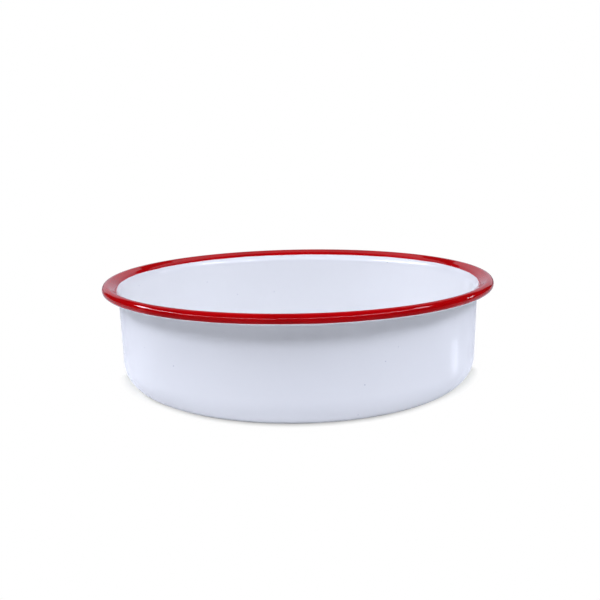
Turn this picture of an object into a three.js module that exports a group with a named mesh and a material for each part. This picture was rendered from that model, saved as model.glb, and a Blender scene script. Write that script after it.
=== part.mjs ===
// Round enamelled baking dish.
// A drawn sheet-steel pan with a flared lip and a rolled rim carries fired coats of enamel:
// a dark ground coat on both faces, a white cover coat over it, and a red coat round the rim.
// Millimetres, +Z up, the axis of the dish on Z, the table it stands on at z = 0.
import * as THREE from "three";

// Form of the finished dish, measured over the enamel
const HEIGHT = 64; // table to the top of the rim
const BODY_DIAMETER = 219; // outside of the wall, carried down to the table
const WALL_DRAFT = 1; // degrees that the wall leans out towards the mouth
const CORNER_RADIUS = 16; // outside, between the base and the wall
const BASE_CROWN = 0.8; // rise of the middle of the base above the resting ring
const REST_WIDTH = 9; // flat ring that the dish stands on
const LIP_REACH = 9.4; // how far the rim stands out from the wall
const LIP_SLOPE = 24; // degrees that the lip climbs towards the rim
const FLARE_RADIUS = 6; // outside, between the wall and the lip
const BEAD_DIAMETER = 6; // rolled rim
const CURL_TUCK = 70; // degrees that the cut edge is rolled up past the rim's underside

// Thickness of the sheet and of each fired coat
const SHEET = 0.6;
const GROUND_COAT = 0.1;
const COVER_COAT = 0.2;
const RIM_COAT = 0.15;

// The red band, in degrees
const RED_LAP = 24; // how far it runs down into the flare
const RED_TUCK = 42; // how far it runs below the outermost line of the rim

// Facets
const SEGMENTS = 44; // round the axis
const CORNER_STEPS = 4;
const FLARE_STEPS = 2; // from the wall to the red band
const LAP_STEPS = 1; // from the edge of the red band to the lip
const BROW_STEPS = 1; // from the lip to the top of the rim
const BEAD_STEPS = 2; // from there to the outermost line of the rim
const CHIN_STEPS = 1; // from there to the lower edge of the red band
const TUCK_STEPS = 3; // from there to the cut edge

const radians = THREE.MathUtils.degToRad;

// Distances from the middle of the sheet. Positive is the face that looks into the dish, which
// the rolling turns to the outside of the rim.
const steelFace = SHEET / 2;
const groundFace = steelFace + GROUND_COAT;
const whiteFace = groundFace + COVER_COAT;
const redFace = whiteFace + RIM_COAT;

// A place on the middle of the sheet: radius, height and the heading of the sheet there,
// in radians above the horizontal, going out from the axis.
const place = (r, z, heading) => ({ r, z, heading });

// Unit vectors along the sheet and across it, towards the face that looks into the dish.
const along = (heading) => new THREE.Vector2(Math.cos(heading), Math.sin(heading));
const across = (heading) => new THREE.Vector2(-Math.sin(heading), Math.cos(heading));

// The point that lies a distance off the middle of the sheet.
function off(point, distance) {
  return across(point.heading).multiplyScalar(distance).add(new THREE.Vector2(point.r, point.z));
}

// Places along an arc about a centre. The sheet turns left where its heading grows, and right
// where it falls.
function arc(centre, radius, fromHeading, toHeading, steps) {
  const side = toHeading > fromHeading ? -radius : radius;
  return Array.from({ length: steps + 1 }, (_, i) => {
    const heading = THREE.MathUtils.lerp(fromHeading, toHeading, i / steps);
    const point = across(heading).multiplyScalar(side).add(centre);
    return place(point.x, point.y, heading);
  });
}

// Centre of the arc of that radius that runs smoothly from one straight stretch into the next.
function bendCentre(from, to, radius) {
  const u = along(from.heading);
  const v = along(to.heading);
  const gap = new THREE.Vector2(to.r - from.r, to.z - from.z);
  const reach = gap.cross(v) / u.cross(v); // from the first place to where the two lines meet
  const turn = to.heading - from.heading;
  const tangent = radius * Math.tan(Math.abs(turn) / 2);
  return u
    .multiplyScalar(reach - tangent)
    .add(new THREE.Vector2(from.r, from.z))
    .add(across(from.heading).multiplyScalar(Math.sign(turn) * radius));
}

// Straight stretches of the sheet: base, wall and lip
const wallHeading = Math.PI / 2 - radians(WALL_DRAFT);
const lipHeading = radians(LIP_SLOPE);
const base = place(0, whiteFace, 0);
const wallFoot = off(place(BODY_DIAMETER / 2, 0, wallHeading), whiteFace);
const wall = place(wallFoot.x, wallFoot.y, wallHeading);

// The rolled rim, with the lip running into the top of its curl
const wallTopRadius = BODY_DIAMETER / 2 + HEIGHT * Math.tan(radians(WALL_DRAFT));
const beadCentre = new THREE.Vector2(
  wallTopRadius + LIP_REACH - BEAD_DIAMETER / 2,
  HEIGHT - BEAD_DIAMETER / 2,
);
const curlRadius = BEAD_DIAMETER / 2 - redFace;
const outermost = -Math.PI / 2;
const redEnds = outermost - radians(RED_TUCK);
const cutEdge = -Math.PI - radians(CURL_TUCK);
const rolled = (from, to, steps) => arc(beadCentre, curlRadius, from, to, steps);
const beadTop = [
  ...rolled(lipHeading, 0, BROW_STEPS),
  ...rolled(0, outermost, BEAD_STEPS).slice(1),
  ...rolled(outermost, redEnds, CHIN_STEPS).slice(1),
];
const beadTuck = rolled(redEnds, cutEdge, TUCK_STEPS).slice(1);
const lip = beadTop[0];

// The two bends of the drawn pan
const cornerRadius = CORNER_RADIUS - whiteFace;
const cornerCentre = bendCentre(base, wall, cornerRadius);
const corner = arc(cornerCentre, cornerRadius, base.heading, wallHeading, CORNER_STEPS);
const flareRadius = FLARE_RADIUS + whiteFace;
const flareCentre = bendCentre(wall, lip, flareRadius);
const redStarts = lipHeading + radians(RED_LAP);
const flare = arc(flareCentre, flareRadius, wallHeading, redStarts, FLARE_STEPS);
const flareLap = arc(flareCentre, flareRadius, redStarts, lipHeading, LAP_STEPS);

// The middle of the sheet from the axis to the flare, and on round the rim to the cut edge
const floor = [
  place(0, base.z + BASE_CROWN, 0),
  place(corner[0].r - REST_WIDTH, base.z, 0),
];
const drawnPan = [...floor, ...corner, ...flare, ...flareLap.slice(1)];
const wholeSheet = [...drawnPan, ...beadTop, ...beadTuck];
const redBand = [...flareLap, ...beadTop];

// A lathe splits every facet from corner to corner, in the direction that its outline runs. The
// far face of a layer runs backwards, so its facets are split the other way here, and two layers
// that touch have the very same triangles on the face that they share.
function splitAlike(geometry, facetsAlong, firstFar) {
  const corners = geometry.index.array;
  for (let facet = 0; facet < corners.length / 6; facet += 1) {
    if (facet % facetsAlong < firstFar) continue;
    const [a, b, d, c] = corners.subarray(facet * 6, facet * 6 + 4);
    corners.set([a, b, c, c, d, a], facet * 6);
  }
  return geometry;
}

// A layer of the dish: the band between two distances from the middle of the sheet, turned
// about the axis.
function layer(path, near, far) {
  const outline = [
    ...path.map((point) => off(point, near)),
    ...path.map((point) => off(point, far)).reverse(),
  ];
  if (path[0].r > 0) outline.push(outline[0].clone());
  const turned = new THREE.LatheGeometry(outline, SEGMENTS);
  return splitAlike(turned, outline.length - 1, path.length).rotateX(Math.PI / 2);
}

const finishes = {
  steel: new THREE.MeshStandardMaterial({ color: 0x8d9195, roughness: 0.45, metalness: 1 }),
  ground: new THREE.MeshStandardMaterial({ color: 0x1b2231, roughness: 0.35, metalness: 0 }),
  white: new THREE.MeshStandardMaterial({ color: 0xe4e9f4, roughness: 0.12, metalness: 0 }),
  red: new THREE.MeshStandardMaterial({ color: 0xa80a14, roughness: 0.1, metalness: 0 }),
};

function piece(name, geometry, material) {
  const mesh = new THREE.Mesh(geometry, material);
  mesh.name = name;
  return mesh;
}

const dish = new THREE.Group();
dish.add(
  piece("steel_pan", layer(wholeSheet, -steelFace, steelFace), finishes.steel),
  piece("ground_coat_inside", layer(wholeSheet, steelFace, groundFace), finishes.ground),
  piece("ground_coat_outside", layer(drawnPan, -groundFace, -steelFace), finishes.ground),
  piece("white_enamel_inside", layer(wholeSheet, groundFace, whiteFace), finishes.white),
  piece("white_enamel_outside", layer(drawnPan, -whiteFace, -groundFace), finishes.white),
  piece("red_rim_enamel", layer(redBand, whiteFace, redFace), finishes.red),
);

export default dish;
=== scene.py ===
import math

import bpy
import numpy as np
from bpy.props import FloatProperty, FloatVectorProperty, PointerProperty
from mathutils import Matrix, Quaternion, Vector


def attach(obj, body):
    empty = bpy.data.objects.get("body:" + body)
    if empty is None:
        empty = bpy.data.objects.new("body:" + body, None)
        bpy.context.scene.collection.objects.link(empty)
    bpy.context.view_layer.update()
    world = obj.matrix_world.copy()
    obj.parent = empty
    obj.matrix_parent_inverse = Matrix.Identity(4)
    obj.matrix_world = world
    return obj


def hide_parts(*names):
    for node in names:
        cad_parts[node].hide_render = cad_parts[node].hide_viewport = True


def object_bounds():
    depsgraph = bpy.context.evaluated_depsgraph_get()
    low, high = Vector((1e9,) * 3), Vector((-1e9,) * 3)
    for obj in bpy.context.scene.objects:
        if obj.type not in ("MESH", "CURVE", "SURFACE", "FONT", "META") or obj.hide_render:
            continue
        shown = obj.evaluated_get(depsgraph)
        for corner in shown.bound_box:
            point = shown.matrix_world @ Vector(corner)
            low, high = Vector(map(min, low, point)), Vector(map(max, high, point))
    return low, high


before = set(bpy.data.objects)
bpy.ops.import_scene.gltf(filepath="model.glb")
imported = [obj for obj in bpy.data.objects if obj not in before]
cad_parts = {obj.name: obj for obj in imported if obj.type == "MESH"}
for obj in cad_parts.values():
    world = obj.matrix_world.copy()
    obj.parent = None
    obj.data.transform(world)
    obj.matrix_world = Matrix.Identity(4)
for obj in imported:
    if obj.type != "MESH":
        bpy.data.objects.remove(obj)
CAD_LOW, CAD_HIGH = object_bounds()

bl_info = {
    "name": "Enamelled Baking Dish",
    "version": (1, 0, 0),
    "blender": (4, 5, 0),
    "location": "View3D > Sidebar > Baking Dish",
    "description": "A round baking dish of enamelled sheet steel with a rolled red rim, and the studio it stands in",
    "category": "Add Mesh",
}

BODY = "root"
FULL_TURN = 2 * math.pi

# Steps of the meshes: round the axis, on the coats that show and on those that don't, and along the sheet's path.
FINE_SEGMENTS = 384
HIDDEN_SEGMENTS = 192
BASE_SAMPLES = 800
ARC_SAMPLES = 400
WALL_ROWS = 25
RED_ROWS = 64
SHARP_EDGE = math.radians(50)

# Dips of the white coat: how many waves, how often they go round, how long they are along the sheet, the arc length
# over which they grow from the axis, how far short of the red they end and over which length, and the seeds.
SAG_WAVES = 14
SAG_TURNS = (3, 34)
SAG_LENGTHS = (0.03, 0.11)
SAG_GROWS = 0.03
SAG_STOPS = 0.002
SAG_FADES = 0.004
INSIDE_SEED, OUTSIDE_SEED = 3, 8

# Thinning of the white over a bend: this length over the bend's radius, and at most this share.
THIN_BEND = 0.0022
THIN_MOST = 0.6

# Edges of the red coat: wave numbers and seeds of their waver, the range of the waves' sizes, how much less the lower
# edge wavers, the widths over which the coat pales and thins towards an edge, and the share of its thickness there.
LAP_WAVES, LAP_SEED = [2, 3, 5, 8, 13, 19, 31, 46], 5
TUCK_WAVES, TUCK_SEED = [2, 4, 7, 11, 17, 29, 41], 6
WAVE_SIZES = (0.5, 1.0)
TUCK_WAVER = 0.8
RED_PALES = 0.0004
RED_THINS = 0.0011
RED_EDGE = 0.12

# Finishes: roughness where clean and where smudged, and relief of the surface in metres.
GLOSS = {
    "fired_white": (0.15, 0.21),
    "fired_red": (0.025, 0.06),
    "fired_ground": (0.28, 0.42),
    "pickled_steel": (0.38, 0.58),
}
RELIEF = {
    "fired_white": 0.00002,
    "fired_red": 0.00001,
    "fired_ground": 0.00003,
    "pickled_steel": 0.00002,
}

# Textures: the peel's share of the relief, the spans of noise that drifts and smudges are read from, the soft edge,
# uneven size and depth of the pinholes, and how strongly all these tint each finish.
PEEL_SHARE = 0.16
DRIFT_SPAN = (0.32, 0.68)
SMUDGE_SPAN = (0.42, 0.72)
HOLE_SPAN = (0.9, 2.2)
HOLE_SPREAD, HOLE_LEAST = 0.9, 0.55
HOLE_DEPTH = 0.8
WHITE_DRIFT, WHITE_HOLES = 0.22, 0.55
RED_HOLES = 0.5
RED_SPECULAR = 0.18
GROUND_PALER = 1.7
STEEL_DARKER = 0.55


def length(name, description, default):
    return FloatProperty(name=name, description=description, default=default, min=0, precision=5, unit="LENGTH")


def angle(name, description, degrees):
    return FloatProperty(name=name, description=description, default=math.radians(degrees), subtype="ANGLE")


def colour(name, description, rgb):
    return FloatVectorProperty(name=name, description=description, default=rgb, size=3, min=0, max=1, subtype="COLOR")


def share(name, description, default):
    return FloatProperty(name=name, description=description, default=default, min=0, max=1, subtype="FACTOR")


class DishForm(bpy.types.PropertyGroup):
    """Form of the finished dish, measured over the enamel."""

    height: length("Height", "From the table to the top of the rim", round(CAD_HIGH.z, 6))
    body_diameter: length("Body diameter", "Outside of the wall, carried down to the table", 0.219)
    wall_draft: angle("Wall draft", "How far the wall leans out towards the mouth", 1)
    corner_radius: length("Corner radius", "Outside, between the base and the wall", 0.016)
    base_crown: length("Base crown", "Rise of the middle of the base above the resting ring", 0.0008)
    rest_width: length("Rest width", "Flat ring that the dish stands on", 0.009)
    lip_reach: length("Lip reach", "How far the rim stands out from the wall", 0.0094)
    lip_slope: angle("Lip slope", "How steeply the lip climbs towards the rim", 24)
    flare_radius: length("Flare radius", "Outside, between the wall and the lip", 0.006)
    bead_diameter: length("Bead diameter", "Thickness of the rolled rim", 0.006)
    curl_tuck: angle("Curl tuck", "How far the cut edge is rolled up past the underside of the rim", 70)


class CoatSizes(bpy.types.PropertyGroup):
    """The sheet and the fired coats on it."""

    sheet: length("Sheet", "Thickness of the steel", 0.0006)
    ground: length("Ground coat", "Thickness of the dark ground coat on each face", 0.0001)
    cover: length("Cover coat", "Thickness of the white coat on each face", 0.0002)
    rim: length("Rim coat", "Thickness of the red coat", 0.00015)
    red_lap: angle("Red lap", "How far the red runs down into the flare", 24)
    red_tuck: angle("Red tuck", "How far the red runs below the outermost line of the rim", 42)
    red_waver: length("Red waver", "How far the edges of the red wander from an even line", 0.00032)
    sag: length("Sag", "How far the fired surface dips from its even thickness", 0.000022)


class EnamelColours(bpy.types.PropertyGroup):
    """Colours of the finishes."""

    white: colour("White", "Cover coat", (0.820, 0.821, 0.806))
    white_shade: colour("White shade", "Cover coat where it is thinner", (0.775, 0.780, 0.776))
    pinhole: colour("Pinhole", "Small spots where the ground coat shows", (0.30, 0.31, 0.40))
    red: colour("Red", "Rim coat", (0.452, 0.0006, 0.002))
    red_deep: colour("Deep red", "Rim coat where it is thicker", (0.386, 0.0004, 0.0015))
    red_thin: colour("Thin red", "Rim coat where it runs out over the white", (0.64, 0.12, 0.14))
    ground: colour("Ground", "Ground coat", (0.010, 0.015, 0.032))
    steel: colour("Steel", "Sheet at the cut edge", (0.33, 0.34, 0.36))


class Studio(bpy.types.PropertyGroup):
    """Camera, light and floor."""

    distance: length("Distance", "Camera to the middle of the dish", 0.518)
    elevation: angle("Elevation", "Camera above the table", 12.76)
    roll: angle("Roll", "Camera turned about its own line of sight", -1.09)
    lens: FloatProperty(name="Lens", description="Focal length in millimetres", default=48.84, min=10, unit="CAMERA")
    light: FloatProperty(name="Light", description="Strength of all the lamps together", default=1.105, min=0)
    light_colour: colour("Light colour", "Colour of all the lamps", (0.812, 0.848, 1.0))
    ambient: FloatProperty(name="Ambient", description="Light from all round", default=0.03, min=0)
    floor: share("Floor", "How much light the floor sends back up", 0.84)
    glow: FloatProperty(name="Glow", description="Light that shines up through the floor", default=0.122, min=0)
    mirrored: share("Mirrored", "How bright the floor before the dish is where the gloss mirrors it", 0.4)
    under: FloatProperty(name="Under", description="Light that shines up onto the base", default=0.26, min=0)


class SheetPath:
    """Middle of the sheet from the axis to the cut edge.

    The table holds arc length, radius, height and heading, the heading in radians above the horizontal. The base is
    z = b + crown * (1 - (r / R)^2)^2 out to the resting ring of inner radius R, and flat on the ring. The corner,
    the flare and the roll are circular arcs, and the wall and the lip are the straight lines that touch them.
    """

    def __init__(self, form, coats):
        steel = coats.sheet / 2
        self.faces = {"steel": steel, "ground": steel + coats.ground}
        self.faces["white"] = self.faces["ground"] + coats.cover
        self.faces["red"] = self.faces["white"] + coats.rim
        white = self.faces["white"]

        wall_heading = math.pi / 2 - form.wall_draft
        wall = np.array([form.body_diameter / 2, 0.0]) + white * across(wall_heading)
        mouth = form.body_diameter / 2 + form.height * math.tan(form.wall_draft)
        bead = form.bead_diameter / 2
        bead_centre = np.array([mouth + form.lip_reach - bead, form.height - bead])
        curl = bead - self.faces["red"]
        lip = bead_centre + curl * across(form.lip_slope)

        red_starts = form.lip_slope + coats.red_lap
        red_ends = -math.pi / 2 - coats.red_tuck
        cut_edge = -math.pi - form.curl_tuck
        base = np.array([0.0, white])
        corner_radius = form.corner_radius - white
        corner_centre = bend_centre(base, 0.0, wall, wall_heading, corner_radius)
        flare_radius = form.flare_radius + white
        flare_centre = bend_centre(wall, wall_heading, lip, form.lip_slope, flare_radius)
        ring = corner_centre[0] - form.rest_width

        out = np.linspace(0, 1, BASE_SAMPLES)
        dome = np.stack([out * ring, white + form.base_crown * (1 - out**2) ** 2], -1)
        dome_heading = np.arctan(-4 * form.base_crown / ring * out * (1 - out**2))
        stretches = [
            ("base", dome, dome_heading),
            ("ring", np.array([[ring, white], [corner_centre[0], white]]), np.zeros(2)),
            ("corner", *arc(corner_centre, corner_radius, 0.0, wall_heading)),
            ("flare", *arc(flare_centre, flare_radius, wall_heading, red_starts)),
            ("lap", *arc(flare_centre, flare_radius, red_starts, form.lip_slope)),
            ("brow", *arc(bead_centre, curl, form.lip_slope, 0.0)),
            ("bead", *arc(bead_centre, curl, 0.0, red_ends)),
            ("tuck", *arc(bead_centre, curl, red_ends, cut_edge)),
        ]
        points = np.concatenate([stretch for _, stretch, _ in stretches])
        self.heading = np.concatenate([heading for _, _, heading in stretches])
        self.r, self.z = points.T
        steps = np.hypot(np.diff(self.r), np.diff(self.z))
        self.s = np.concatenate([[0.0], np.cumsum(steps)])
        self.marks = {}
        row = 0
        for name, stretch, _ in stretches:
            self.marks[name] = self.s[row]
            row += len(stretch)
            self.marks[name + "_end"] = self.s[row - 1]

    def at(self, s, offset):
        """Radius and height at arc length s, a signed distance off the middle of the sheet."""
        heading = np.interp(s, self.s, self.heading)
        r = np.interp(s, self.s, self.r) - offset * np.sin(heading)
        z = np.interp(s, self.s, self.z) + offset * np.cos(heading)
        return r, z

    def stations(self, **counts):
        """Arc lengths with that many steps in each named stretch, and the ends of the stretches among them."""
        runs = [np.linspace(self.marks[n], self.marks[n + "_end"], count + 1) for n, count in counts.items()]
        return np.unique(np.round(np.concatenate(runs), 9))


def across(heading):
    """Unit vector square to the sheet, towards the face that looks into the dish."""
    return np.stack([-np.sin(heading), np.cos(heading)], -1)


def arc(centre, radius, start, end):
    """Points of an arc by heading: centre + radius * across(heading), on the side that the sheet turns away from."""
    heading = np.linspace(start, end, ARC_SAMPLES)
    side = -radius if end > start else radius
    return centre + side * across(heading), heading


def bend_centre(first, first_heading, second, second_heading, radius):
    """Centre of the arc of that radius that touches two lines, each given by a point and a heading."""
    u = np.array([math.cos(first_heading), math.sin(first_heading)])
    v = np.array([math.cos(second_heading), math.sin(second_heading)])
    gap = second - first
    reach = (gap[0] * v[1] - gap[1] * v[0]) / (u[0] * v[1] - u[1] * v[0])
    turn = second_heading - first_heading
    tangent = radius * math.tan(abs(turn) / 2)
    return first + u * (reach - tangent) + math.copysign(radius, turn) * across(first_heading)


def waver(phi, amplitude, seed, waves):
    """A line that wanders round the dish: the sum of a_n * cos(n * phi + start_n), scaled to the amplitude."""
    draw = np.random.default_rng(seed)
    start = draw.uniform(0, FULL_TURN, len(waves))
    size = draw.uniform(*WAVE_SIZES, len(waves)) / np.sqrt(np.asarray(waves, float))
    line = (size[:, None] * np.cos(np.outer(waves, phi) + start[:, None])).sum(0)
    return amplitude * line / np.abs(line).max()


def sag(s, phi, depth, seed):
    """Dips of a fired coat, from 0 to the depth and none at the axis.

    They are the sum of cos(n * phi + 2 pi * s / l + start) / sqrt(n), slanted waves of n turns and of length l.
    """
    draw = np.random.default_rng(seed)
    turns = draw.integers(*SAG_TURNS, SAG_WAVES)
    along = FULL_TURN / draw.uniform(*SAG_LENGTHS, SAG_WAVES)
    start = draw.uniform(0, FULL_TURN, SAG_WAVES)
    waves = np.cos(
        turns[:, None, None] * phi[None, None, :] + along[:, None, None] * s[None, :, None] + start[:, None, None]
    )
    total = (waves / np.sqrt(turns)[:, None, None]).sum(0)
    total = (total - total.min()) / (total.max() - total.min())
    return depth * total * np.clip(s / SAG_GROWS, 0, 1)[:, None]


def turned(path, s, offset, phi):
    """Surface of revolution (r cos(phi), r sin(phi), z), with the radius and the height of the path at (s, offset)."""
    s = np.broadcast_to(s if s.ndim == 2 else s[:, None], (len(s), len(phi)))
    r, z = path.at(s, np.broadcast_to(offset, s.shape))
    return np.stack([r * np.cos(phi), r * np.sin(phi), z], -1)


def ring_angles(segments):
    """Even angles once round the axis."""
    return np.arange(segments) * (FULL_TURN / segments)


def coat_mesh(name, face, back, poled):
    """Closed mesh of a coat from its two faces, each a grid of rows along the sheet and columns round the axis.

    The rows are joined into one outline, the back face from its last row to its first and then the face from its
    first row to its last, and the outline is closed. On a coat that reaches the axis, the first row of each face is
    one vertex with a fan of triangles. Returned with it: which of the outline's points it keeps.
    """
    outline = np.concatenate([back[::-1], face])
    rows, columns = outline.shape[:2]
    first = len(back) - 1
    index = np.arange(rows * columns).reshape(rows, columns)
    keep = np.ones(rows * columns, bool)
    if poled:
        for row in (first, first + 1):
            index[row] = index[row, 0]
            keep[row * columns + 1:(row + 1) * columns] = False
    following = np.roll(index, -1, axis=0)
    quads = np.stack([index, np.roll(index, -1, 1), np.roll(following, -1, 1), following], -1)
    renumber = np.cumsum(keep) - 1
    faces = renumber[quads]
    if poled:
        fan_in = faces[first - 1][:, [0, 1, 2]]
        fan_out = faces[first + 1][:, [0, 2, 3]]
        others = np.delete(faces, (first - 1, first, first + 1), axis=0).reshape(-1, 4)
        polygons = others.tolist() + fan_in.tolist() + fan_out.tolist()
    else:
        polygons = faces.reshape(-1, 4).tolist()
    points = outline.reshape(-1, 3)[keep]
    corners = outline.reshape(-1, 3)[quads.reshape(-1, 4)]
    sides = np.cross(corners[:, 2] - corners[:, 0], corners[:, 3] - corners[:, 1])
    inside_out = (sides * corners.mean(1)).sum() < 0
    if inside_out:
        polygons = [polygon[::-1] for polygon in polygons]
    mesh = bpy.data.meshes.new(name)
    mesh.from_pydata(points, [], polygons)
    mesh.validate()
    mesh.shade_smooth()
    mesh.set_sharp_from_angle(angle=SHARP_EDGE)
    return mesh, keep


def settle(name, mesh, material, node):
    """Puts a finished mesh into the scene in place of its CAD node."""
    mesh.materials.append(material)
    piece = bpy.data.objects.new(name, mesh)
    bpy.context.scene.collection.objects.link(piece)
    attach(piece, BODY)
    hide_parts(node)


def put(tree, kind, sockets=None, **settings):
    """Adds a node, with its settings and with its input sockets filled by values or by the outputs of other nodes."""
    made = tree.nodes.new(kind)
    for name, value in settings.items():
        setattr(made, name, value)
    for name, value in (sockets or {}).items():
        if isinstance(value, bpy.types.NodeSocket):
            tree.links.new(value, made.inputs[name])
        else:
            made.inputs[name].default_value = value
    return made


def blend_colour(tree, factor, first, second):
    """Colour that goes from the first to the second with the factor."""
    mixed = put(tree, "ShaderNodeMix", {0: factor, 6: first, 7: second}, data_type="RGBA")
    return mixed.outputs[2]


def ranged(tree, value, low, high, to_low, to_high, smooth=False):
    """Value carried from one range to another and held at its ends."""
    kind = "SMOOTHSTEP" if smooth else "LINEAR"
    sockets = {"Value": value, "From Min": low, "From Max": high, "To Min": to_low, "To Max": to_high}
    return put(tree, "ShaderNodeMapRange", sockets, interpolation_type=kind).outputs["Result"]


def solid(rgb):
    """Colour with full alpha, as the sockets take it."""
    return (*rgb, 1.0)


def new_group(name, inputs, outputs):
    """Empty shader node group with named sockets, and the nodes of its two ends."""
    group = bpy.data.node_groups.new(name, "ShaderNodeTree")
    for title, kind, default in inputs:
        made = group.interface.new_socket(name=title, in_out="INPUT", socket_type=kind)
        if default is not None:
            made.default_value = default
    for title, kind in outputs:
        group.interface.new_socket(name=title, in_out="OUTPUT", socket_type=kind)
    return group, put(group, "NodeGroupInput"), put(group, "NodeGroupOutput")


def fired_surface_group():
    """Fired enamel: broad ripple and fine orange peel as a height, drifts of tone, and smudges in the gloss."""
    name = "fired_surface"
    if name in bpy.data.node_groups:
        return bpy.data.node_groups[name]
    group, given, result = new_group(
        name,
        [("Vector", "NodeSocketVector", None), ("Ripple Scale", "NodeSocketFloat", 70.0),
         ("Peel Scale", "NodeSocketFloat", 420.0), ("Drift Scale", "NodeSocketFloat", 16.0)],
        [("Height", "NodeSocketFloat"), ("Drift", "NodeSocketFloat"), ("Smudge", "NodeSocketFloat")],
    )
    place = given.outputs["Vector"]
    ripple = put(group, "ShaderNodeTexNoise", {"Vector": place, "Scale": given.outputs["Ripple Scale"], "Detail": 1.0})
    peel = put(group, "ShaderNodeTexNoise", {"Vector": place, "Scale": given.outputs["Peel Scale"], "Detail": 0.0})
    height = put(group, "ShaderNodeMath", {0: peel.outputs[0], 1: PEEL_SHARE, 2: ripple.outputs[0]},
                 operation="MULTIPLY_ADD")
    drift = put(group, "ShaderNodeTexNoise",
                {"Vector": place, "Scale": given.outputs["Drift Scale"], "Detail": 3.0, "Roughness": 0.55})
    smudge = put(group, "ShaderNodeTexNoise", {"Vector": place, "Scale": 38.0, "Detail": 5.0, "Distortion": 0.8})
    group.links.new(height.outputs[0], result.inputs["Height"])
    group.links.new(ranged(group, drift.outputs[0], *DRIFT_SPAN, 0.0, 1.0, True), result.inputs["Drift"])
    group.links.new(ranged(group, smudge.outputs[0], *SMUDGE_SPAN, 0.0, 1.0, True), result.inputs["Smudge"])
    return group


def pinhole_group():
    """Pinholes: spots about the scattered points of a cell pattern, with a soft and uneven edge."""
    name = "pinholes"
    if name in bpy.data.node_groups:
        return bpy.data.node_groups[name]
    group, given, result = new_group(
        name,
        [("Vector", "NodeSocketVector", None), ("Scale", "NodeSocketFloat", 100.0),
         ("Radius", "NodeSocketFloat", 0.05)],
        [("Mask", "NodeSocketFloat")],
    )
    cells = put(group, "ShaderNodeTexVoronoi", {"Vector": given.outputs["Vector"], "Scale": given.outputs["Scale"]})
    uneven = put(group, "ShaderNodeTexNoise", {"Vector": given.outputs["Vector"], "Scale": 1600.0, "Detail": 1.0})
    spread = put(group, "ShaderNodeMath", {0: uneven.outputs[0], 1: HOLE_SPREAD, 2: HOLE_LEAST},
                 operation="MULTIPLY_ADD")
    reach = put(group, "ShaderNodeMath", {0: spread.outputs[0], 1: given.outputs["Radius"]}, operation="MULTIPLY")
    near = put(group, "ShaderNodeMath", {0: reach.outputs[0], 1: cells.outputs["Distance"]}, operation="DIVIDE")
    group.links.new(ranged(group, near.outputs[0], *HOLE_SPAN, 0.0, 1.0, True), result.inputs["Mask"])
    return group


def new_finish(name, metallic=0.0):
    """Empty material with its shader and a place to read Object coordinates."""
    material = bpy.data.materials.new(name)
    material.use_nodes = True
    tree = material.node_tree
    shader = tree.nodes["Principled BSDF"]
    shader.inputs["Metallic"].default_value = metallic
    place = put(tree, "ShaderNodeTexCoord").outputs["Object"]
    return material, tree, shader, place


def use_group(tree, group, **sockets):
    """Adds a node group with its inputs filled, and gives its outputs."""
    filled = {name.replace("_", " "): value for name, value in sockets.items()}
    return put(tree, "ShaderNodeGroup", filled, node_tree=group).outputs


def dress(material, shader, smudge, height):
    """Gives a finish its gloss, duller where it is smudged, and its relief from a height."""
    tree = material.node_tree
    tree.links.new(ranged(tree, smudge, 0.0, 1.0, *GLOSS[material.name]), shader.inputs["Roughness"])
    bump = put(tree, "ShaderNodeBump", {"Height": height, "Strength": 1.0, "Distance": RELIEF[material.name]})
    tree.links.new(bump.outputs[0], shader.inputs["Normal"])


def white_finish(colours):
    """Glossy white cover coat: slow drifts of tone, a few pinholes, ripple and smudges in the gloss."""
    name = "fired_white"
    if name in bpy.data.materials:
        return bpy.data.materials[name]
    material, tree, shader, place = new_finish(name)
    fired = use_group(tree, fired_surface_group(), Vector=place)
    holes = use_group(tree, pinhole_group(), Vector=place)["Mask"]
    thin = put(tree, "ShaderNodeAttribute", attribute_name="thin").outputs["Fac"]
    drift = put(tree, "ShaderNodeMath", {0: fired["Drift"], 1: WHITE_DRIFT, 2: thin},
                operation="MULTIPLY_ADD", use_clamp=True)
    tone = blend_colour(tree, drift.outputs[0], solid(colours.white), solid(colours.white_shade))
    dim = put(tree, "ShaderNodeMath", {0: holes, 1: WHITE_HOLES}, operation="MULTIPLY").outputs[0]
    spotted = blend_colour(tree, dim, tone, solid(colours.pinhole))
    tree.links.new(spotted, shader.inputs["Base Color"])
    pitted = put(tree, "ShaderNodeMath", {0: holes, 1: -HOLE_DEPTH, 2: fired["Height"]}, operation="MULTIPLY_ADD")
    dress(material, shader, fired["Smudge"], pitted.outputs[0])
    return material


def red_finish(colours):
    """Glossy red rim coat: deeper where it pools, thin and pale where it runs out over the white."""
    name = "fired_red"
    if name in bpy.data.materials:
        return bpy.data.materials[name]
    material, tree, shader, place = new_finish(name)
    fired = use_group(tree, fired_surface_group(), Vector=place, Drift_Scale=34.0, Ripple_Scale=110.0)
    holes = use_group(tree, pinhole_group(), Vector=place, Scale=150.0, Radius=0.045)["Mask"]
    cover = put(tree, "ShaderNodeAttribute", attribute_name="cover").outputs["Fac"]
    deep = blend_colour(tree, fired["Drift"], solid(colours.red), solid(colours.red_deep))
    dim = put(tree, "ShaderNodeMath", {0: holes, 1: RED_HOLES}, operation="MULTIPLY").outputs[0]
    spotted = blend_colour(tree, dim, deep, solid(colours.red_deep))
    laid = blend_colour(tree, cover, solid(colours.red_thin), spotted)
    tree.links.new(laid, shader.inputs["Base Color"])
    shader.inputs["Specular IOR Level"].default_value = RED_SPECULAR
    dress(material, shader, fired["Smudge"], fired["Height"])
    return material


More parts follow.
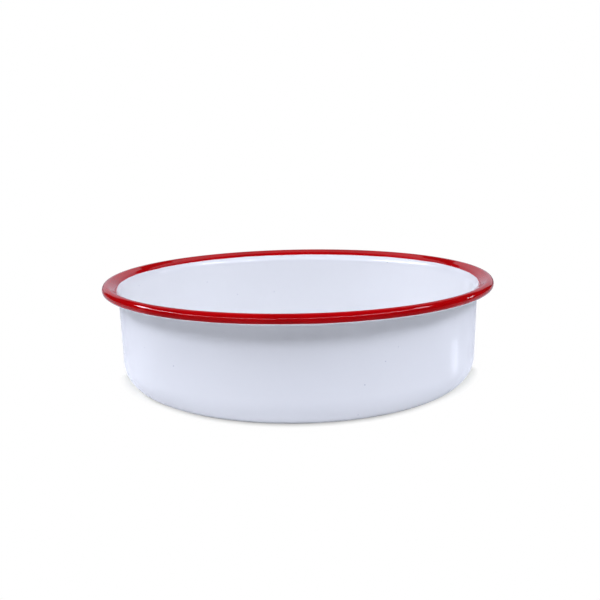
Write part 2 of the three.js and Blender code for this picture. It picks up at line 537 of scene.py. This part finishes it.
def ground_finish(colours):
    """Dark ground coat with a slight drift of tone."""
    name = "fired_ground"
    if name in bpy.data.materials:
        return bpy.data.materials[name]
    material, tree, shader, place = new_finish(name)
    fired = use_group(tree, fired_surface_group(), Vector=place)
    paler = solid([min(1.0, GROUND_PALER * part) for part in colours.ground])
    tree.links.new(blend_colour(tree, fired["Drift"], solid(colours.ground), paler), shader.inputs["Base Color"])
    dress(material, shader, fired["Smudge"], fired["Height"])
    return material


def steel_finish(colours):
    """Pickled sheet steel with a fine grain and a few dark stains."""
    name = "pickled_steel"
    if name in bpy.data.materials:
        return bpy.data.materials[name]
    material, tree, shader, place = new_finish(name, metallic=1.0)
    fired = use_group(tree, fired_surface_group(), Vector=place, Peel_Scale=1500.0, Drift_Scale=60.0)
    darker = solid([STEEL_DARKER * part for part in colours.steel])
    tree.links.new(blend_colour(tree, fired["Drift"], solid(colours.steel), darker), shader.inputs["Base Color"])
    dress(material, shader, fired["Smudge"], fired["Height"])
    return material


def plain_coat(path, s, near, far, segments, name):
    """Even coat between two distances from the middle of the sheet."""
    phi = ring_angles(segments)
    mesh, _ = coat_mesh(name, turned(path, s, far, phi), turned(path, s, near, phi), poled=True)
    return mesh


class DISH_OT_steel_pan(bpy.types.Operator):
    """Draws the steel pan: base, corner, wall, flare, lip and rolled rim in one sheet"""

    bl_idname = "dish.steel_pan"
    bl_label = "Steel Pan"

    def execute(self, context):
        scene = context.scene
        path = SheetPath(scene.dish_form, scene.dish_coats)
        s = path.stations(base=10, ring=2, corner=12, flare=12, lap=6, brow=4, bead=14, tuck=16)
        steel = path.faces["steel"]
        mesh = plain_coat(path, s, -steel, steel, HIDDEN_SEGMENTS, "drawn_steel")
        settle("drawn_steel", mesh, steel_finish(scene.dish_colours), "steel_pan")
        return {"FINISHED"}


class DISH_OT_ground_coats(bpy.types.Operator):
    """Fires the dark ground coat onto both faces of the sheet"""

    bl_idname = "dish.ground_coats"
    bl_label = "Ground Coats"

    def execute(self, context):
        scene = context.scene
        path = SheetPath(scene.dish_form, scene.dish_coats)
        steel, ground = path.faces["steel"], path.faces["ground"]
        finish = ground_finish(scene.dish_colours)
        pan = dict(base=10, ring=2, corner=12, flare=12, lap=6)
        whole = path.stations(**pan, brow=4, bead=14, tuck=16)
        inside = plain_coat(path, whole, steel, ground, HIDDEN_SEGMENTS, "ground_inside")
        outside = plain_coat(path, path.stations(**pan), -steel, -ground, HIDDEN_SEGMENTS, "ground_outside")
        settle("ground_inside", inside, finish, "ground_coat_inside")
        settle("ground_outside", outside, finish, "ground_coat_outside")
        return {"FINISHED"}


class DISH_OT_white_enamel(bpy.types.Operator):
    """Fires the white cover coat over the ground coat, inside and outside"""

    bl_idname = "dish.white_enamel"
    bl_label = "White Enamel"

    def execute(self, context):
        scene = context.scene
        path = SheetPath(scene.dish_form, scene.dish_coats)
        pan = dict(base=20, ring=5, corner=22, flare=20, lap=8)
        rim = dict(brow=6, bead=20, tuck=18)
        wall = np.linspace(path.marks["corner_end"], path.marks["flare"], WALL_ROWS + 1)[1:-1]
        inside = np.union1d(path.stations(**pan, **rim), wall)
        outside = np.union1d(path.stations(**pan), wall)
        self.coat(scene, path, "white_inside", "white_enamel_inside", 1, inside, INSIDE_SEED)
        self.coat(scene, path, "white_outside", "white_enamel_outside", -1, outside, OUTSIDE_SEED)
        return {"FINISHED"}

    def coat(self, scene, path, name, node, side, s, seed):
        """One face's coat: its outer surface is the even offset less the dips, which fade out before the red.

        The attribute "thin" is THIN_BEND / R where the sheet bends with radius R.
        """
        ground, white = path.faces["ground"], path.faces["white"]
        phi = ring_angles(FINE_SEGMENTS)
        fade = np.clip((path.marks["flare_end"] - SAG_STOPS - s) / SAG_FADES, 0, 1)[:, None]
        dips = sag(s, phi, scene.dish_coats.sag, seed) * fade
        hidden = np.union1d(s[::3], s[[0, -1]])
        face = turned(path, s, side * (white - dips), phi)
        back = turned(path, hidden, side * ground, phi)
        mesh, keep = coat_mesh(name, face, back, poled=True)
        curve = np.abs(np.gradient(np.interp(s, path.s, path.heading), s))
        thin = np.where(s < path.marks["flare_end"], np.clip(curve * THIN_BEND, 0, THIN_MOST), 0)
        rows = np.concatenate([np.zeros(len(hidden)), thin])
        values = np.repeat(rows, len(phi))[keep].astype(np.float32)
        mesh.attributes.new("thin", "FLOAT", "POINT").data.foreach_set("value", values)
        settle(name, mesh, white_finish(scene.dish_colours), node)


class DISH_OT_red_rim(bpy.types.Operator):
    """Fires the red coat over the white, from the flare over the lip and round the rolled rim"""

    bl_idname = "dish.red_rim"
    bl_label = "Red Rim"

    def execute(self, context):
        """At a distance d from the coat's edge, its thickness is rim * (e + (1 - e) * sqrt(d / width)), e at the edge.

        The attribute "cover" climbs from 0 at the edge as 3 c^2 - 2 c^3, with c = d / width of the paling.
        """
        scene = context.scene
        coats = scene.dish_coats
        path = SheetPath(scene.dish_form, coats)
        phi = ring_angles(FINE_SEGMENTS)
        starts = path.marks["lap"] + waver(phi, coats.red_waver, LAP_SEED, LAP_WAVES)
        ends = path.marks["bead_end"] + waver(phi, coats.red_waver * TUCK_WAVER, TUCK_SEED, TUCK_WAVES)
        across_coat = np.sin(np.linspace(-np.pi / 2, np.pi / 2, RED_ROWS)) * 0.5 + 0.5
        s = starts[None, :] + across_coat[:, None] * (ends - starts)[None, :]
        edge = np.minimum(s - starts, ends - s)
        cover = np.clip(edge / RED_PALES, 0, 1)
        cover = cover * cover * (3 - 2 * cover)
        full = np.sqrt(np.clip(edge / RED_THINS, 0, 1))
        white = path.faces["white"]
        hidden = np.concatenate([s[:-1:2], s[-1:]])
        face = turned(path, s, white + coats.rim * (RED_EDGE + (1 - RED_EDGE) * full), phi)
        back = turned(path, hidden, white, phi)
        mesh, keep = coat_mesh("red_rim", face, back, poled=False)
        values = np.concatenate([np.ones(back.shape[:2]), cover]).ravel()[keep].astype(np.float32)
        mesh.attributes.new("cover", "FLOAT", "POINT").data.foreach_set("value", values)
        settle("red_rim", mesh, red_finish(scene.dish_colours), "red_rim_enamel")
        return {"FINISHED"}


# Lamps: azimuth from the camera's side towards its right and elevation, in degrees, distance, width and height in
# metres, and radiance. The soft boxes only light, the tubes only show in the gloss, and the lamps behind do both.
SOFT_BOXES = {
    "front_strip": (0, 50, 1.3, 1.2, 0.2, 5.5),
    "left_front_box": (-55, 46, 1.3, 0.75, 0.3, 8.0),
    "right_front_box": (55, 44, 1.3, 0.75, 0.34, 8.6),
    "left_side_box": (-98, 37, 1.3, 0.9, 0.4, 5.8),
    "right_side_box": (94, 36, 1.3, 0.9, 0.4, 2.9),
    "left_low_box": (-92, 20, 1.3, 1.4, 0.8, 0.8),
    "right_low_box": (92, 18, 1.3, 1.4, 0.8, 0.74),
}
TUBES = {
    "left_end_tube": (-103, 28.5, 1.3, 0.25, 0.12, 38.0),
    "left_tube": (-80, 26, 1.3, 0.8, 0.12, 26.0),
    "front_left_tube": (-37, 23, 1.3, 1.1, 0.10, 15.0),
    "front_right_tube": (14, 29, 1.3, 1.2, 0.10, 12.0),
    "right_tube": (58, 31, 1.3, 0.9, 0.10, 17.0),
    "right_end_tube": (81, 37, 1.3, 0.2, 0.12, 28.0),
    "right_spark": (110, 14, 1.3, 0.15, 0.05, 30.0),
    "right_card": (74, -8.8, 0.1496, 0.016, 0.020, 1.3),
}
BACK_LAMPS = {
    "back_sweep": (180, 16, 1.6, 2.4, 0.8, 0.65),
    "back_top_box": (180, 50, 1.3, 1.6, 0.5, 0.65),
}


# Floor, in metres. The camera sees a white floor with the dish's shadow on it, which fades to white between two
# distances from the axis. Each is given straight to the side, and at the depth before or behind from where it stays.
FLOOR_HALF = 4.0
FLOOR_DROP = 0.00008
SHADED_FLOOR = (0.790, 0.776, 0.683)
SHADOW_DEPTH, SHADOW_STARTS = 0.065, (0.109, 0.090)
WHITE_DEPTH, WHITE_STARTS = 0.07, (0.1163, 0.1045)

# Where the floor is dulled in the gloss, before the dish; where its light fades out, and how pale it stays there; and
# where the light under the base gives way to the light round it.
DULLED_FLOOR = (-0.09, -0.02)
FLOOR_FADES = (0.13, 0.26)
FAR_FLOOR = 0.6
BASE_EDGE = (0.0905, 0.0955)

# Camera and surroundings: the height that it and the lamps are aimed at, the shift that frames the dish as the photo
# does, the sensor's width in millimetres, the nearest and farthest that it sees, and the tint of the ambient light.
AIM_HEIGHT = 0.033
CAMERA_SHIFT = (0.0026, 0.0375)
SENSOR_WIDTH = 36.0
CAMERA_REACH = (0.01, 50.0)
AMBIENT_COLOUR = (0.95, 0.97, 1.0)
WHITE = (1.0, 1.0, 1.0)


class DISH_OT_studio(bpy.types.Operator):
    """Sets up the pale floor, the lamps, the surroundings and the camera"""

    bl_idname = "dish.studio"
    bl_label = "Studio"

    def execute(self, context):
        scene = context.scene
        studio = scene.dish_studio
        middle = Vector((0.0, 0.0, AIM_HEIGHT))
        self.floor(scene, studio)
        for lamps, lights, shines in ((SOFT_BOXES, True, False), (TUBES, False, True), (BACK_LAMPS, True, True)):
            for name, sizes in lamps.items():
                lamp = self.lamp(scene, studio, name, middle, *sizes)
                lamp.visible_diffuse, lamp.visible_glossy = lights, shines
        self.surroundings(scene, studio)
        self.camera(scene, studio, middle)
        scene.view_settings.view_transform = "Standard"
        return {"FINISHED"}

    def floor(self, scene, studio):
        """Pale floor: white with a soft shadow to the camera, and open from below. To the light it is paper that
        glows, a painted light round the dish with its own strength under the base, and before the dish the gloss
        mirrors it darker, a painted reflection.
        """
        mesh = bpy.data.meshes.new("table")
        half, level = FLOOR_HALF, -FLOOR_DROP
        mesh.from_pydata([(-half, -half, level), (half, -half, level), (half, half, level), (-half, half, level)],
                         [], [(0, 1, 2, 3)])
        material = bpy.data.materials.new("white_table")
        material.use_nodes = True
        tree = material.node_tree
        tree.nodes.clear()
        light = put(tree, "ShaderNodeLightPath")
        place = put(tree, "ShaderNodeTexCoord").outputs["Object"]
        away = put(tree, "ShaderNodeVectorMath", {0: place}, operation="LENGTH").outputs["Value"]
        white = put(tree, "ShaderNodeEmission", {"Color": solid(WHITE), "Strength": 1.0})
        matt = put(tree, "ShaderNodeBsdfDiffuse", {"Color": solid(SHADED_FLOOR)})
        back = put(tree, "ShaderNodeSeparateXYZ", {0: place}).outputs["Y"]
        depth = put(tree, "ShaderNodeMath", {0: back}, operation="ABSOLUTE").outputs[0]
        starts = ranged(tree, depth, 0.0, SHADOW_DEPTH, *SHADOW_STARTS)
        ends = ranged(tree, depth, 0.0, WHITE_DEPTH, *WHITE_STARTS)
        fade = ranged(tree, away, starts, ends, 0.0, 1.0, True)
        seen = put(tree, "ShaderNodeMixShader", {0: fade, 1: matt.outputs[0], 2: white.outputs[0]})
        image = ranged(tree, back, *DULLED_FLOOR, studio.mirrored, 1.0, True)
        dull = ranged(tree, light.outputs["Is Glossy Ray"], 0.0, 1.0, 1.0, image)
        pale = ranged(tree, away, *FLOOR_FADES, studio.floor, FAR_FLOOR * studio.floor, True)
        tint = put(tree, "ShaderNodeMath", {0: pale, 1: dull}, operation="MULTIPLY").outputs[0]
        paper = put(tree, "ShaderNodeBsdfDiffuse", {"Color": tint})
        around = ranged(tree, away, *FLOOR_FADES, studio.glow, 0.0, True)
        lit = ranged(tree, away, *BASE_EDGE, studio.under, around)
        shine = put(tree, "ShaderNodeMath", {0: lit, 1: dull}, operation="MULTIPLY").outputs[0]
        glow = put(tree, "ShaderNodeEmission", {"Color": solid(studio.light_colour), "Strength": shine})
        bounce = put(tree, "ShaderNodeAddShader", {0: paper.outputs[0], 1: glow.outputs[0]})
        top = put(tree, "ShaderNodeMixShader",
                  {0: light.outputs["Is Camera Ray"], 1: bounce.outputs[0], 2: seen.outputs[0]})
        below = put(tree, "ShaderNodeBsdfTransparent")
        side = put(tree, "ShaderNodeNewGeometry").outputs["Backfacing"]
        both = put(tree, "ShaderNodeMixShader", {0: side, 1: top.outputs[0], 2: below.outputs[0]})
        put(tree, "ShaderNodeOutputMaterial", {"Surface": both.outputs[0]})
        mesh.materials.append(material)
        table = bpy.data.objects.new("table", mesh)
        scene.collection.objects.link(table)

    def lamp(self, scene, studio, name, middle, azimuth, elevation, distance, width, height, radiance):
        """Rectangular lamp that faces the middle of the dish."""
        data = bpy.data.lights.new(name, "AREA")
        data.shape = "RECTANGLE"
        data.size, data.size_y = width, height
        data.color = studio.light_colour
        data.energy = studio.light * radiance * math.pi * width * height
        lamp = bpy.data.objects.new(name, data)
        a, e = math.radians(azimuth), math.radians(elevation)
        out = Vector((math.sin(a) * math.cos(e), -math.cos(a) * math.cos(e), math.sin(e)))
        lamp.location = middle + distance * out
        lamp.rotation_mode = "QUATERNION"
        lamp.rotation_quaternion = (-out).to_track_quat("-Z", "Y")
        lamp.visible_camera = False
        scene.collection.objects.link(lamp)
        return lamp

    def surroundings(self, scene, studio):
        """White to the camera, and a faint light from all round."""
        world = bpy.data.worlds.new("studio")
        scene.world = world
        world.use_nodes = True
        tree = world.node_tree
        tree.nodes.clear()
        seen = put(tree, "ShaderNodeBackground", {"Color": solid(WHITE), "Strength": 1.0})
        around = put(tree, "ShaderNodeBackground", {"Color": solid(AMBIENT_COLOUR), "Strength": studio.ambient})
        light = put(tree, "ShaderNodeLightPath")
        mixed = put(tree, "ShaderNodeMixShader",
                    {0: light.outputs["Is Camera Ray"], 1: around.outputs[0], 2: seen.outputs[0]})
        put(tree, "ShaderNodeOutputWorld", {"Surface": mixed.outputs[0]})

    def camera(self, scene, studio, middle):
        """Camera at the photo's angle."""
        data = bpy.data.cameras.new("camera")
        data.sensor_width = SENSOR_WIDTH
        data.lens = studio.lens
        data.shift_x, data.shift_y = CAMERA_SHIFT
        data.clip_start, data.clip_end = CAMERA_REACH
        camera = bpy.data.objects.new("camera", data)
        out = Vector((0.0, -math.cos(studio.elevation), math.sin(studio.elevation)))
        camera.location = middle + studio.distance * out
        camera.rotation_mode = "QUATERNION"
        camera.rotation_quaternion = (-out).to_track_quat("-Z", "Y") @ Quaternion((0, 0, 1), studio.roll)
        scene.collection.objects.link(camera)
        scene.camera = camera


class DISH_PT_sidebar(bpy.types.Panel):
    """Sizes, finishes and steps of the dish"""

    bl_idname = "DISH_PT_sidebar"
    bl_label = "Baking Dish"
    bl_space_type = "VIEW_3D"
    bl_region_type = "UI"
    bl_category = "Baking Dish"

    def draw(self, context):
        scene = context.scene
        for group in (scene.dish_form, scene.dish_coats, scene.dish_colours, scene.dish_studio):
            box = self.layout.box()
            for name in group.__annotations__:
                box.prop(group, name)
        for step in STEPS:
            self.layout.operator(step.bl_idname)


STEPS = (DISH_OT_steel_pan, DISH_OT_ground_coats, DISH_OT_white_enamel, DISH_OT_red_rim, DISH_OT_studio)
GROUPS = {
    "dish_form": DishForm,
    "dish_coats": CoatSizes,
    "dish_colours": EnamelColours,
    "dish_studio": Studio,
}


def register():
    for kind in (*GROUPS.values(), *STEPS, DISH_PT_sidebar):
        bpy.utils.register_class(kind)
    for name, group in GROUPS.items():
        setattr(bpy.types.Scene, name, PointerProperty(type=group))


def unregister():
    for name in GROUPS:
        delattr(bpy.types.Scene, name)
    for kind in (DISH_PT_sidebar, *reversed(STEPS), *GROUPS.values()):
        bpy.utils.unregister_class(kind)


def main():
    """Makes the dish and the studio in order."""
    register()
    bpy.ops.dish.steel_pan()
    bpy.ops.dish.ground_coats()
    bpy.ops.dish.white_enamel()
    bpy.ops.dish.red_rim()
    bpy.ops.dish.studio()


if __name__ == "__main__":
    main()
